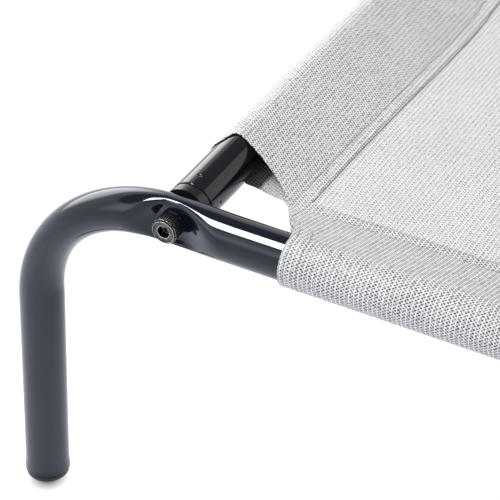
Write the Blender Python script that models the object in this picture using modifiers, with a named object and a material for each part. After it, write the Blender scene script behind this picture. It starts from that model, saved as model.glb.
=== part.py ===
"""Elevated pet bed: two bent side frames, two straight end rails bolted between them
through pressed pockets, end inserts, socket-head screws, foot plugs and a woven mesh cover.

Metres, +Z up. The origin is on the floor under the middle of the bed, +X runs along the bed.
"""
import math

import bmesh
import bpy
from mathutils import Matrix, Vector

# Driving dimensions
BED_LENGTH = 1.300          # over the feet
BED_WIDTH = 0.800           # over the side tubes
RAIL_HEIGHT = 0.186         # floor to the axes of all four rails
TUBE_RADIUS = 0.0111        # 22.2 mm tube
TUBE_WALL = 0.0012
GAP = 0.0003                # left between pieces that touch

# Bends of the side frames
BEND_RADIUS = 0.0707        # to the tube's axis
LEG_SPLAY = math.radians(1.64)
BEND_FLATTENING = 0.16      # share of the radius that the bend takes away in its own plane
BEND_WIDENING = 0.04
BEND_STEPS = 8
TUBE_SIDES = 20

# Pockets pressed into the side frames for the screws
END_RAIL_INSET = 0.0743     # from the leg's axis, at rail height, to the end rail's axis
POCKET_SEAT = 0.0027        # from the side rail's axis out to the seat
POCKET_FLAT = 0.008         # half length of the seat along the rail
POCKET_REACH = 0.020        # half length of the whole pocket along the rail
SEAT_HALF_HEIGHT = 0.0068
LIP_HALF_HEIGHT = 0.0105
POCKET_STEP = 0.004

# End rails and the inserts in their ends
END_RAIL_GAP = 0.0145       # from the side rail's axis to the end rail's tube
SPIGOT_LENGTH = 0.022
SPIGOT_RADIUS = 0.0096
COLLAR_REACH = 0.0087       # the collar ends this far from the side rail's axis, above and below its saddle

# Socket-head screws, M8
SCREW_RADIUS = 0.0040
HOLE_RADIUS = 0.0043
HEAD_RADIUS = 0.0065
HEAD_HEIGHT = 0.0080
SHANK_LENGTH = 0.036
SOCKET_ACROSS_FLATS = 0.006
SOCKET_DEPTH = 0.004

# Foot plugs
FOOT_HEIGHT = 0.003
FOOT_RADIUS = 0.0109
FOOT_SPIGOT_RADIUS = 0.0092
FOOT_SPIGOT_LENGTH = 0.014

# Mesh cover
SLEEVE_RADIUS = 0.0124      # outside of the cloth round a rail
CLOTH = 0.0009
SLEEVE_DEPTH = 0.042        # from a rail's axis to the seam that closes its sleeve
SEAM_HALF = 0.0006
SIDE_MOUTH_AT_RAIL = 0.133  # ends of the sleeves, from the leg's axis or the side rail's axis
SIDE_MOUTH_AT_SEAM = 0.121
END_MOUTH_AT_RAIL = 0.058
END_MOUTH_AT_SEAM = 0.031
MOUTH_FLAT = 0.006          # how far in from the rail's axis a mouth stays square
SLEEVE_SIDES = 14

# Worked out from the driving dimensions
TUBE_END = FOOT_HEIGHT
LEG_LEAN = math.tan(LEG_SPLAY)
CORNER_X = (BED_LENGTH / 2 - TUBE_RADIUS / math.cos(LEG_SPLAY)
            - (RAIL_HEIGHT - TUBE_END) * LEG_LEAN)
SIDE_Y = BED_WIDTH / 2 - TUBE_RADIUS
END_X = CORNER_X - END_RAIL_INSET
BEND_ANGLE = math.pi / 2 - LEG_SPLAY
BEND_START = CORNER_X - BEND_RADIUS * math.tan(BEND_ANGLE / 2)


def clear_scene():
    for obj in list(bpy.data.objects):
        bpy.data.objects.remove(obj, do_unlink=True)


def new_collection(name):
    collection = bpy.data.collections.new(name)
    bpy.context.scene.collection.children.link(collection)
    return collection


clear_scene()
PARTS = new_collection("elevated_pet_bed")
CUTTERS = new_collection("cutters")


def material(name, colour, roughness, metallic):
    mat = bpy.data.materials.new(name)
    mat.use_nodes = True
    shader = mat.node_tree.nodes["Principled BSDF"]
    shader.inputs["Base Color"].default_value = (*colour, 1.0)
    shader.inputs["Roughness"].default_value = roughness
    shader.inputs["Metallic"].default_value = metallic
    return mat


FRAME_PAINT = material("frame_paint", (0.045, 0.048, 0.056), 0.22, 0.0)
RAIL_PAINT = material("rail_paint", (0.045, 0.048, 0.056), 0.22, 0.0)
INSERT_BLACK = material("insert_black", (0.030, 0.031, 0.034), 0.35, 0.0)
SCREW_STEEL = material("screw_steel", (0.30, 0.31, 0.32), 0.40, 0.9)
FOOT_PLASTIC = material("foot_plastic", (0.035, 0.036, 0.040), 0.55, 0.0)
MESH_CLOTH = material("mesh_cloth", (0.62, 0.63, 0.64), 0.75, 0.0)


def add_object(name, mesh, collection, mat=None):
    obj = bpy.data.objects.new(name, mesh)
    collection.objects.link(obj)
    if mat is not None:
        mesh.materials.append(mat)
    return obj


def finish_smooth(mesh, angle=math.radians(35)):
    mesh.shade_smooth()
    mesh.set_sharp_from_angle(angle=angle)


def smooth_step(value):
    value = min(1.0, max(0.0, value))
    return value * value * (3 - 2 * value)


def hollow_loft(name, outer, inner, mat):
    """A hollow body with open ends, skinned between matching outer and inner rings."""
    bm = bmesh.new()
    skins = [[[bm.verts.new(point) for point in ring] for ring in rings] for rings in (outer, inner)]
    sides = len(outer[0])
    for rings in skins:
        for ring, following in zip(rings, rings[1:]):
            for i in range(sides):
                j = (i + 1) % sides
                bm.faces.new((ring[i], ring[j], following[j], following[i]))
    for end in (0, -1):
        rim, bore = skins[0][end], skins[1][end]
        for i in range(sides):
            j = (i + 1) % sides
            bm.faces.new((rim[i], rim[j], bore[j], bore[i]))
    bmesh.ops.recalc_face_normals(bm, faces=bm.faces)
    mesh = bpy.data.meshes.new(name)
    bm.to_mesh(mesh)
    bm.free()
    finish_smooth(mesh)
    return add_object(name, mesh, PARTS, mat)


def turned(name, profile, place, mat, sides=24, closed=False):
    """A profile of (radius, height) points spun about its own axis and put in place."""
    bm = bmesh.new()
    verts = [bm.verts.new((radius, 0, height)) for radius, height in profile]
    for first, second in zip(verts, verts[1:]):
        bm.edges.new((first, second))
    if closed:
        bm.edges.new((verts[-1], verts[0]))
    mesh = bpy.data.meshes.new(name)
    bm.to_mesh(mesh)
    bm.free()
    obj = add_object(name, mesh, PARTS, mat)
    screw = obj.modifiers.new("Screw", 'SCREW')
    screw.axis = 'Z'
    screw.angle = 2 * math.pi
    screw.steps = sides
    screw.render_steps = sides
    screw.use_merge_vertices = True
    screw.merge_threshold = 0.00005
    screw.use_smooth_shade = True
    obj.matrix_world = place
    return obj


def cylinder_cutter(name, radius, depth, place, sides=24):
    bm = bmesh.new()
    bmesh.ops.create_cone(bm, cap_ends=True, segments=sides, radius1=radius, radius2=radius, depth=depth)
    mesh = bpy.data.meshes.new(name)
    bm.to_mesh(mesh)
    bm.free()
    cutter = add_object(name, mesh, CUTTERS)
    cutter.matrix_world = place
    cutter.hide_render = True
    cutter.display_type = 'WIRE'
    return cutter


def cut(obj, cutter):
    modifier = obj.modifiers.new(cutter.name, 'BOOLEAN')
    modifier.operation = 'DIFFERENCE'
    modifier.solver = 'EXACT'
    modifier.object = cutter


def side_station(x):
    """Centre and outward direction, in the XZ plane, of a side frame's rail at x >= 0."""
    return Vector((x, 0, RAIL_HEIGHT)), Vector((0, 0, 1)), 0.0


def bend_station(angle):
    centre = Vector((BEND_START, 0, RAIL_HEIGHT - BEND_RADIUS))
    outward = Vector((math.sin(angle), 0, math.cos(angle)))
    flattening = math.sin(math.pi * angle / BEND_ANGLE) ** 0.8 if 0 < angle < BEND_ANGLE else 0.0
    return centre + outward * BEND_RADIUS, outward, flattening


def foot_station():
    """The leg's end is cut level with the floor."""
    x = CORNER_X + (RAIL_HEIGHT - TUBE_END) * LEG_LEAN
    return Vector((x, 0, TUBE_END)), Vector((1 / math.cos(LEG_SPLAY), 0, 0)), 0.0


def half_frame_stations():
    """From the middle of the bed to the foot at +X."""
    stations = [side_station(0.0)]
    x = END_X - POCKET_REACH
    while x < BEND_START:
        stations.append(side_station(x))
        x += POCKET_STEP
    angle = math.asin((x - BEND_START) / BEND_RADIUS)
    past_pocket = math.asin((END_X + POCKET_REACH - BEND_START) / BEND_RADIUS)
    while angle < past_pocket:
        stations.append(bend_station(angle))
        angle += POCKET_STEP / BEND_RADIUS
    for step in range(BEND_STEPS + 1):
        stations.append(bend_station(past_pocket + (BEND_ANGLE - past_pocket) * step / BEND_STEPS))
    stations.append(foot_station())
    return stations


def pressed(out, height, x, half_height, seat):
    """How far out from the axis the wall is once the pocket is pressed in."""
    along = 1 - smooth_step((abs(abs(x) - END_X) - POCKET_FLAT) / (POCKET_REACH - POCKET_FLAT))
    scaled = abs(height) * TUBE_RADIUS / half_height
    across = 1 - smooth_step((scaled - SEAT_HALF_HEIGHT) / (LIP_HALF_HEIGHT - SEAT_HALF_HEIGHT))
    if out <= seat:
        return out
    return out + (seat - out) * along * across


def frame_ring(station, face, inset):
    """One ring of a side frame's wall. face is +1 or -1, the way its pockets look along Y."""
    centre, outward, flattening = station
    radius = TUBE_RADIUS - inset
    tall = radius - TUBE_RADIUS * BEND_FLATTENING * flattening
    wide = radius + TUBE_RADIUS * BEND_WIDENING * flattening
    ring = []
    for i in range(TUBE_SIDES):
        angle = 2 * math.pi * i / TUBE_SIDES
        height = tall * math.sin(angle)
        point = centre + outward * height
        out = pressed(wide * math.cos(angle), height, point.x, tall, POCKET_SEAT - inset)
        ring.append(Vector((point.x, face * (SIDE_Y + out), point.z)))
    return ring


def mirrored(ring):
    return [Vector((-point.x, point.y, point.z)) for point in ring]


def side_frame(name, face):
    skins = []
    for inset in (0.0, TUBE_WALL):
        half = [frame_ring(station, face, inset) for station in half_frame_stations()]
        skins.append([mirrored(ring) for ring in reversed(half[1:])] + half)
    return hollow_loft(name, skins[0], skins[1], FRAME_PAINT)


def rail_ring(x, y, radius):
    return [Vector((x + radius * math.cos(2 * math.pi * i / TUBE_SIDES), y,
                    RAIL_HEIGHT + radius * math.sin(2 * math.pi * i / TUBE_SIDES)))
            for i in range(TUBE_SIDES)]


def end_rail(name, end):
    half = SIDE_Y - END_RAIL_GAP - GAP / 2
    skins = [[rail_ring(end * END_X, y, radius) for y in (-half, half)]
             for radius in (TUBE_RADIUS, TUBE_RADIUS - TUBE_WALL)]
    return hollow_loft(name, skins[0], skins[1], RAIL_PAINT)


def looking_out(end, face, out):
    """Axes of a corner's screw: +Z looks out of the side frame, out is measured from its axis."""
    turn = Matrix.Rotation(-face * math.pi / 2, 4, 'X')
    return Matrix.Translation((end * END_X, face * (SIDE_Y + out), RAIL_HEIGHT)) @ turn


def screw(name, end, face):
    seat = POCKET_SEAT + GAP
    chamfer = 0.0006
    profile = [(0, HEAD_HEIGHT), (HEAD_RADIUS - chamfer, HEAD_HEIGHT), (HEAD_RADIUS, HEAD_HEIGHT - chamfer),
               (HEAD_RADIUS, 0), (SCREW_RADIUS, 0), (SCREW_RADIUS, chamfer - SHANK_LENGTH),
               (SCREW_RADIUS - chamfer, -SHANK_LENGTH), (0, -SHANK_LENGTH)]
    body = turned(name, profile, looking_out(end, face, seat), SCREW_STEEL)
    socket = cylinder_cutter(name + "_socket", SOCKET_ACROSS_FLATS / math.sqrt(3), 2 * SOCKET_DEPTH,
                             looking_out(end, face, seat + HEAD_HEIGHT), sides=6)
    cut(body, socket)


def insert(name, end, face, saddle):
    """Collar and spigot with a bore; the collar is cut to sit against the side rail."""
    collar = END_RAIL_GAP - GAP / 2
    profile = [(TUBE_RADIUS, -COLLAR_REACH), (TUBE_RADIUS, -collar), (SPIGOT_RADIUS, -collar),
               (SPIGOT_RADIUS, -collar - SPIGOT_LENGTH), (HOLE_RADIUS, -collar - SPIGOT_LENGTH),
               (HOLE_RADIUS, -COLLAR_REACH)]
    body = turned(name, profile, looking_out(end, face, 0.0), INSERT_BLACK, closed=True)
    cut(body, saddle)


def foot_plug(name, end, face):
    chamfer = 0.0009
    lip = FOOT_HEIGHT - GAP
    top = lip + FOOT_SPIGOT_LENGTH
    profile = [(0, top), (FOOT_SPIGOT_RADIUS - chamfer, top), (FOOT_SPIGOT_RADIUS, top - chamfer),
               (FOOT_SPIGOT_RADIUS, lip), (FOOT_RADIUS, lip), (FOOT_RADIUS, chamfer),
               (FOOT_RADIUS - chamfer, 0), (0, 0)]
    x = CORNER_X + (RAIL_HEIGHT - TUBE_END) * LEG_LEAN
    turned(name, profile, Matrix.Translation((end * x, face * SIDE_Y, 0)), FOOT_PLASTIC)


def sleeve_section(radius, depth, tip):
    """Points (in, up) round a sleeve: a round nose about the rail, tapering in to the seam."""
    taper = math.acos(radius / depth)
    section = [(depth, tip)]
    for i in range(SLEEVE_SIDES + 1):
        angle = taper + (2 * math.pi - 2 * taper) * i / SLEEVE_SIDES
        section.append((radius * math.cos(angle), radius * math.sin(angle)))
    section.append((depth, -tip))
    return section


def mouth_place(inward, at_rail, at_seam):
    share = (inward - MOUTH_FLAT) / (SLEEVE_DEPTH - MOUTH_FLAT)
    return at_rail + (at_seam - at_rail) * min(1.0, max(0.0, share))


def sleeve_skins():
    """Outer and inner sections of the cloth, matching point for point."""
    inner_scale = (SLEEVE_RADIUS - CLOTH) / SLEEVE_RADIUS
    return (sleeve_section(SLEEVE_RADIUS, SLEEVE_DEPTH, SEAM_HALF),
            sleeve_section(SLEEVE_RADIUS * inner_scale, SLEEVE_DEPTH * inner_scale, SEAM_HALF / 3))


def side_sleeve(name, face):
    skins = []
    for section in sleeve_skins():
        rings = []
        for end in (-1, 1):
            rings.append([Vector((end * (CORNER_X - mouth_place(inward, SIDE_MOUTH_AT_RAIL, SIDE_MOUTH_AT_SEAM)),
                                  face * (SIDE_Y - inward), RAIL_HEIGHT + up)) for inward, up in section])
        skins.append(rings)
    hollow_loft(name, skins[0], skins[1], MESH_CLOTH)


def end_sleeve(name, end):
    skins = []
    for section in sleeve_skins():
        rings = []
        for face in (-1, 1):
            rings.append([Vector((end * (END_X - inward),
                                  face * (SIDE_Y - mouth_place(inward, END_MOUTH_AT_RAIL, END_MOUTH_AT_SEAM)),
                                  RAIL_HEIGHT + up)) for inward, up in section])
        skins.append(rings)
    hollow_loft(name, skins[0], skins[1], MESH_CLOTH)


def panel_outline():
    """The sheet inside the seams, with a tab that reaches out between the sleeves at each corner."""
    seam_x = END_X - SLEEVE_DEPTH - GAP
    seam_y = SIDE_Y - SLEEVE_DEPTH - GAP
    tab_y = SIDE_Y - END_MOUTH_AT_SEAM - GAP
    tab_x = CORNER_X - SIDE_MOUTH_AT_SEAM + GAP
    corner = [(seam_x, seam_y), (seam_x, tab_y), (tab_x, tab_y), (tab_x, seam_y)]
    outline = []
    for end, face in ((1, 1), (-1, 1), (-1, -1), (1, -1)):
        points = [(end * x, face * y) for x, y in corner]
        outline += points if end == face else points[::-1]
    return outline


def panel(name):
    curve = bpy.data.curves.new(name, 'CURVE')
    curve.dimensions = '2D'
    curve.fill_mode = 'BOTH'
    curve.extrude = CLOTH / 2
    spline = curve.splines.new('POLY')
    outline = panel_outline()
    spline.points.add(len(outline) - 1)
    for point, (x, y) in zip(spline.points, outline):
        point.co = (x, y, 0, 1)
    spline.use_cyclic_u = True
    obj = add_object(name, curve, PARTS, MESH_CLOTH)
    obj.location = (0, 0, RAIL_HEIGHT)


def build():
    sides = (("front", -1), ("back", 1))
    ends = (("left", -1), ("right", 1))
    for side_name, face in sides:
        frame = side_frame("side_frame_" + side_name, face)
        side_sleeve("cover_sleeve_" + side_name, face)
        along_x = Matrix.Translation((0, face * SIDE_Y, RAIL_HEIGHT)) @ Matrix.Rotation(math.pi / 2, 4, 'Y')
        saddle = cylinder_cutter("saddle_" + side_name, TUBE_RADIUS + GAP, BED_LENGTH, along_x, sides=40)
        for end_name, end in ends:
            corner = side_name + "_" + end_name
            hole = cylinder_cutter("screw_hole_" + corner, HOLE_RADIUS, 4 * TUBE_RADIUS,
                                   looking_out(end, face, 0.0))
            cut(frame, hole)
            screw("screw_" + corner, end, face)
            insert("rail_insert_" + corner, end, face, saddle)
            foot_plug("foot_plug_" + corner, end, face)
    for end_name, end in ends:
        end_rail("end_rail_" + end_name, end)
        end_sleeve("cover_sleeve_" + end_name, end)
    panel("cover_panel")


build()
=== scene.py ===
import math
from collections import namedtuple

import bmesh
import bpy
from mathutils import Matrix, Vector


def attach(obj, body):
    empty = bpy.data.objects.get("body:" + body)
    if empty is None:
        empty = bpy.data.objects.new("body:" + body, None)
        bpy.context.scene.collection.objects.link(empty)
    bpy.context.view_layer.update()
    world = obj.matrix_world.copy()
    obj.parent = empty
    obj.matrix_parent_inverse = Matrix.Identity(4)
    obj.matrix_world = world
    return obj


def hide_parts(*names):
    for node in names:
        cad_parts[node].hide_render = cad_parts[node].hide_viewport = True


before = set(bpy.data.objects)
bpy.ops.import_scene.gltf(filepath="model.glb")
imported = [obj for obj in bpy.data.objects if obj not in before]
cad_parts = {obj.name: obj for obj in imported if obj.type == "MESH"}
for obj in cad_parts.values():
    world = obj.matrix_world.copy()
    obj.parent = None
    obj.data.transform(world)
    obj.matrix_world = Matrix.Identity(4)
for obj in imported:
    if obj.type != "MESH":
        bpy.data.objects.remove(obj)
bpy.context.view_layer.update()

UP = Vector((0, 0, 1))

# Dimensions of the bed, in metres, the same as in the part's source
BED_LENGTH = 1.300
BED_WIDTH = 0.800
RAIL_HEIGHT = 0.186
TUBE_RADIUS = 0.0111
TUBE_WALL = 0.0012
GAP = 0.0003
BEND_RADIUS = 0.0707
LEG_SPLAY = math.radians(1.64)
BEND_WIDENING = 0.04
END_RAIL_INSET = 0.0743
POCKET_SEAT = 0.0027
END_RAIL_GAP = 0.0145
SPIGOT_LENGTH = 0.022
SPIGOT_RADIUS = 0.0096
COLLAR_REACH = 0.0087
SCREW_RADIUS = 0.0040
HOLE_RADIUS = 0.0043
HEAD_RADIUS = 0.0065
HEAD_HEIGHT = 0.0080
SHANK_LENGTH = 0.036
SOCKET_ACROSS_FLATS = 0.006
SOCKET_DEPTH = 0.004
FOOT_HEIGHT = 0.003
FOOT_RADIUS = 0.0109
FOOT_SPIGOT_RADIUS = 0.0092
FOOT_SPIGOT_LENGTH = 0.014

TUBE_END = FOOT_HEIGHT
LEG_LEAN = math.tan(LEG_SPLAY)
FOOT_X = BED_LENGTH / 2 - TUBE_RADIUS / math.cos(LEG_SPLAY)
CORNER_X = FOOT_X - (RAIL_HEIGHT - TUBE_END) * LEG_LEAN
SIDE_Y = BED_WIDTH / 2 - TUBE_RADIUS
END_X = CORNER_X - END_RAIL_INSET
BEND_ANGLE = math.pi / 2 - LEG_SPLAY
BEND_START = CORNER_X - BEND_RADIUS * math.tan(BEND_ANGLE / 2)

SIDES = (("front", -1), ("back", 1))
ENDS = (("left", -1), ("right", 1))

# Finer shapes of the metal and plastic parts
SHARP_ANGLE = math.radians(35)
TUBE_SIDES = 72
RAIL_SIDES = 160
BEND_STEPS = 26
BEND_FLATTENING = 0.13
POCKET_STEP = 0.001
POCKET_SPAN = 0.036  # the fine steps go this far to both sides of a screw
POCKET_FLAT = 0.0069  # half length of the flat face, at the screw's height
POCKET_REACH_IN = 0.030  # towards the bed's middle
POCKET_REACH_OUT = 0.023  # towards the leg
FLAT_NARROWING = 0.8  # share of its length that the pocket's flat face loses at the tube's top and bottom
REACH_NARROWING = 0.33  # and that the whole pocket loses there
POCKET_ROUNDS = (0.0060, 0.0015)  # rounding where the pressed face meets the tube, above and below
POCKET_LIP = 0.0024  # the pressed face comes out again by this much at the bottom
LIP_START = -0.0068  # from this height down
POCKET_BULGE = 0.055  # pressing the pocket makes the tube this much taller there
BULGE_FLAT = 0.004  # full this far from the screw, and fading past it
BULGE_FADE = 0.030
FLARE = 0.0004  # the tube's end flares out a little at the foot, over these heights above its end
FLARE_STEPS = (0.008, 0.006, 0.004, 0.002, 0.0008, 0.0)
FOOT_GROOVE = 0.0010  # between the tube's end and the foot plug's cap
CRIMP_FROM_END = 0.0075  # dents that hold the insert in the end rail
CRIMP_DEPTH = 0.0009
CRIMP_LENGTH = 0.0011
CRIMP_WIDTH = 0.0013
CRIMP_SPAN = 0.0036  # fine rings there, this far to both sides
CRIMP_STEP = 0.00024
RIM_ROUND = 0.0004
COLLAR_GROOVE = 0.0005
HEAD_RIM = 0.0009
KNURLS = 42
KNURL_DEPTH = 0.00022

# The mesh cover
CLOTH = 0.00035
CLOTH_LEVEL = 0.00030  # height of a layer's middle above or below the seam's level
NOSE_TOP = 0.01150  # middle of the cloth over a rail
NOSE_BOTTOM = 0.01265  # and under it, where it hangs a little slack
SIDE_SEAM = 0.0352  # from a rail's axis in to the seam, and to the hem's edge
SIDE_HEM = 0.0412
END_SEAM = 0.0411
END_HEM = 0.0480
SEAM_PINCH = 0.0012  # the layers come nearer to each other within this distance of the seam
SEAM_WAVE = 0.0037  # the end seams bow in by this much near both corners
WAVE_PLACE = 0.205  # the wave's middle, from the side rail
WAVE_WIDTHS = (0.075, 0.045)  # towards the side rail and away from it
SLACK = 0.0006  # sag of the lower slope, twice the upper one's
RIB_PITCH = 0.0023  # the ribs of the weave run along Y
YARN_PITCH = 0.00165

# Where the sleeves begin near a corner, as pairs in mm: a distance in from the rail that the sleeve goes
# round, and how far its cut edge is there from the side rail's axis, or in SIDE_MOUTH_IN from the leg's axis.
# END_MOUTH_NOSE has an angle round the rail first, in degrees.
END_MOUTH_TOP = ((3.3, 58.0), (7.9, 56.3), (14.5, 53.4), (20.0, 50.6), (25.7, 46.9), (31.9, 42.9),
                 (37.5, 37.4), (39.6, 34.7), (44.2, 27.2), (48.0, 22.0), (52.0, 17.0))
END_MOUTH_NOSE = ((73, 58.0), (90, 58.9), (100, 59.4), (110, 57.5), (122, 52.4), (150, 51.4), (200, 53.0),
                  (250, 55.0), (287, 55.6))
END_MOUTH_BOTTOM = ((3.3, 55.6), (10.2, 52.9), (14.4, 51.2), (19.8, 48.4), (24.5, 45.6), (32.9, 41.0),
                    (37.5, 37.0), (39.6, 34.3), (44.2, 27.0), (48.0, 22.0), (52.0, 17.0))
SIDE_MOUTH_IN = ((-4.0, 133.6), (0.0, 133.6), (3.3, 132.8), (10.0, 130.2), (16.5, 126.4), (22.3, 121.7),
                 (26.0, 121.7))
MOUTH_FLARE = 0.0004  # an end sleeve stands off its rail by this much at its mouth
MOUTH_FLARE_LENGTH = 0.012
HEM_FOLD = 0.0100  # length of the strip that is turned in at a side sleeve's mouth
HEM_LIFT = 0.00015  # and how far the cloth stands off there
HEM_LIFT_LENGTH = 0.008
FOLD_DROP = CLOTH * 1.15  # the turned-in strip lies this much below the cloth
FOLD_END = 0.0195  # and goes up the slope as far as this
FOLD_STEP = 0.0009
TUCK = 0.00008  # a side sleeve's end lies this much inside the end sleeve's
TUCK_LENGTH = 0.002
TUCK_START = 0.0225

STITCH = 0.0030  # length of a stitch
THREAD_RADIUS = 0.00014
HEM_THREAD_RADIUS = 0.00016
STITCH_DIP = 0.0002
STITCH_LIFT = 0.00010
SIDE_STITCH_LIFTS = (-0.00006, 0.00002)  # on the seam, and near the hem's edge
WANDER = 0.0003  # an end seam's stitches stray this much from its line
EDGE_ROW = 0.0009  # the second row of stitches runs this far inside a hem's edge
HEM_ROWS = (0.0026, 0.0090)  # rows of stitches, this far from a side sleeve's mouth
HEM_ROW_END = 0.019
END_SEAM_START = 0.0495
SIDE_SEAM_START = 0.1385


# Small helpers

def smooth_step(value):
    value = min(1.0, max(0.0, value))
    return value * value * (3 - 2 * value)


def between(points, place):
    """Reads a short list of (place, value) pairs with straight runs between them."""
    if place <= points[0][0]:
        return points[0][1]
    for (a, first), (b, second) in zip(points, points[1:]):
        if place <= b:
            return first + (second - first) * (place - a) / (b - a)
    return points[-1][1]


def eased(points, place, width):
    """The same with the corners between the runs rounded over a width."""
    return sum(between(points, place + width * shift) for shift in (-0.5, -0.25, 0.0, 0.25, 0.5)) / 5


def spread(start, stop, step):
    """Places from start to stop, evenly spaced, at most a step apart."""
    count = max(1, math.ceil(abs(stop - start) / step))
    return [start + (stop - start) * i / count for i in range(count + 1)]


def placed(name, data):
    obj = bpy.data.objects.new(name, data)
    bpy.context.scene.collection.objects.link(obj)
    return obj


def piece(name, data, mat, node=None):
    """Puts a piece in the scene, on the bed's body, in place of the plain node that it stands for."""
    data.name = name
    data.materials.append(mat)
    obj = placed(name, data)
    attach(obj, "root")
    if node:
        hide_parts(node)
    return obj


def mesh_from(bm):
    """Ends a bmesh and gives its mesh."""
    mesh = bpy.data.meshes.new("mesh")
    bm.to_mesh(mesh)
    bm.free()
    return mesh


def smoothed(mesh):
    """Smooth faces with sharp edges between them."""
    mesh.shade_smooth()
    mesh.set_sharp_from_angle(angle=SHARP_ANGLE)
    return mesh


def closed_loft(loops):
    """Skins a closed series of rings: the last ring joins the first, as on a hollow tube."""
    bm = bmesh.new()
    rings = [[bm.verts.new(point) for point in loop] for loop in loops]
    sides = len(rings[0])
    for ring, following in zip(rings, rings[1:] + rings[:1]):
        for i in range(sides):
            j = (i + 1) % sides
            bm.faces.new((ring[i], ring[j], following[j], following[i]))
    bmesh.ops.recalc_face_normals(bm, faces=bm.faces)
    return smoothed(mesh_from(bm))


def turned_mesh(profile, sides, ripple=None):
    """Spins (radius, height) points about Z. A profile that starts off the axis joins up with its own end.
    ripple(turn, radius, height) changes the radius."""
    bm = bmesh.new()
    rings = []
    for radius, height in profile:
        if radius == 0:
            rings.append([bm.verts.new((0, 0, height))])
            continue
        ring = []
        for i in range(sides):
            turn = 2 * math.pi * i / sides
            reach = ripple(turn, radius, height) if ripple else radius
            ring.append(bm.verts.new((reach * math.cos(turn), reach * math.sin(turn), height)))
        rings.append(ring)
    joined = rings[:1] if len(rings[0]) > 1 else []
    for ring, following in zip(rings, rings[1:] + joined):
        for i in range(sides):
            j = (i + 1) % sides
            corners = [ring[i % len(ring)], ring[j % len(ring)],
                       following[j % len(following)], following[i % len(following)]]
            corners = [c for n, c in enumerate(corners) if c not in corners[:n]]
            if len(corners) > 2:
                bm.faces.new(corners)
    bmesh.ops.recalc_face_normals(bm, faces=bm.faces)
    return smoothed(mesh_from(bm))


def rounded(profile, corner, radius, steps=4):
    """The profile with one of its points changed to a small arc of straight steps."""
    before, point, after = (Vector(profile[(corner + shift) % len(profile)]) for shift in (-1, 0, 1))
    start = point + (before - point).normalized() * radius
    stop = point + (after - point).normalized() * radius
    arc = []
    for i in range(steps + 1):
        share = i / steps
        arc.append(tuple(start * (1 - share) ** 2 + point * 2 * share * (1 - share) + stop * share ** 2))
    return profile[:corner] + arc + profile[corner + 1:]


def cut_away(obj, cutter_mesh, place):
    """Cuts a closed mesh out of a piece and keeps only the result."""
    cutter = placed("cutter", cutter_mesh)
    cutter.matrix_world = place
    modifier = obj.modifiers.new("cut", 'BOOLEAN')
    modifier.operation = 'DIFFERENCE'
    modifier.solver = 'EXACT'
    modifier.object = cutter
    bpy.context.view_layer.update()
    graph = bpy.context.evaluated_depsgraph_get()
    result = bpy.data.meshes.new_from_object(obj.evaluated_get(graph))
    obj.modifiers.clear()
    obj.data = smoothed(result)
    bpy.data.objects.remove(cutter, do_unlink=True)


def drum(radius, depth, sides):
    bm = bmesh.new()
    bmesh.ops.create_cone(bm, cap_ends=True, segments=sides, radius1=radius, radius2=radius, depth=depth)
    return mesh_from(bm)


# Materials

class Nodes:
    """The nodes of a material or of the world, added a few at a time."""

    def __init__(self, owner, shader):
        owner.use_nodes = True
        self.owner = owner
        self.tree = owner.node_tree
        self.shader = self.tree.nodes[shader]

    def add(self, kind, *values, **settings):
        """Adds a node with its settings and feeds its first inputs."""
        node = self.tree.nodes.new(kind)
        for key, value in settings.items():
            setattr(node, key, value)
        for socket, value in zip(node.inputs, values):
            self.feed(socket, value)
        return node

    def feed(self, socket, value):
        """Links an output to a socket, or gives the socket a fixed value."""
        if isinstance(value, bpy.types.NodeSocket):
            self.tree.links.new(value, socket)
        else:
            socket.default_value = value

    def shade(self, name, value):
        """Feeds one input of the shader itself."""
        self.feed(self.shader.inputs[name], value)

    def math(self, operation, *values):
        return self.add("ShaderNodeMath", *values, operation=operation).outputs[0]

    def total(self, *products):
        """Adds up products of two values each."""
        result = 0.0
        for first, second in products:
            result = self.math('MULTIPLY_ADD', first, second, result)
        return result

    def ramp(self, value, low, high, to_low=0.0, to_high=1.0):
        """Maps a value from low..high to to_low..to_high, smoothly and held at both ends."""
        node = self.add("ShaderNodeMapRange", value, low, high, to_low, to_high,
                        interpolation_type='SMOOTHSTEP')
        return node.outputs[0]

    def dot(self, first, second):
        return self.add("ShaderNodeVectorMath", first, second, operation='DOT_PRODUCT').outputs["Value"]

    def split(self, vector):
        return self.add("ShaderNodeSeparateXYZ", vector).outputs

    def place(self):
        return self.add("ShaderNodeTexCoord").outputs["Object"]

    def noise(self, scale, detail=3.0, vector=None):
        node = self.add("ShaderNodeTexNoise")
        self.feed(node.inputs["Scale"], scale)
        self.feed(node.inputs["Detail"], detail)
        self.feed(node.inputs["Vector"], vector if vector is not None else self.place())
        return node.outputs["Fac"]

    def colours(self, value, *stops):
        node = self.add("ShaderNodeValToRGB", value)
        elements = node.color_ramp.elements
        while len(elements) < len(stops):
            elements.new(0.5)
        for element, (place, colour) in zip(elements, stops):
            element.position = place
            element.color = (*colour, 1.0)
        return node.outputs[0]

    def mix(self, share, first, second):
        """A colour that goes from the first to the second with the share."""
        node = self.add("ShaderNodeMix", share, data_type='RGBA')
        self.feed(node.inputs[6], first)
        self.feed(node.inputs[7], second)
        return node.outputs[2]

    def bump(self, height, distance, strength):
        node = self.add("ShaderNodeBump")
        self.feed(node.inputs["Strength"], strength)
        self.feed(node.inputs["Distance"], distance)
        self.feed(node.inputs["Height"], height)
        self.shade("Normal", node.outputs[0])


def material_nodes(name):
    return Nodes(bpy.data.materials.new(name), "Principled BSDF")


def tint(colour, share):
    return tuple(min(1.0, c * share) for c in colour)


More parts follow.
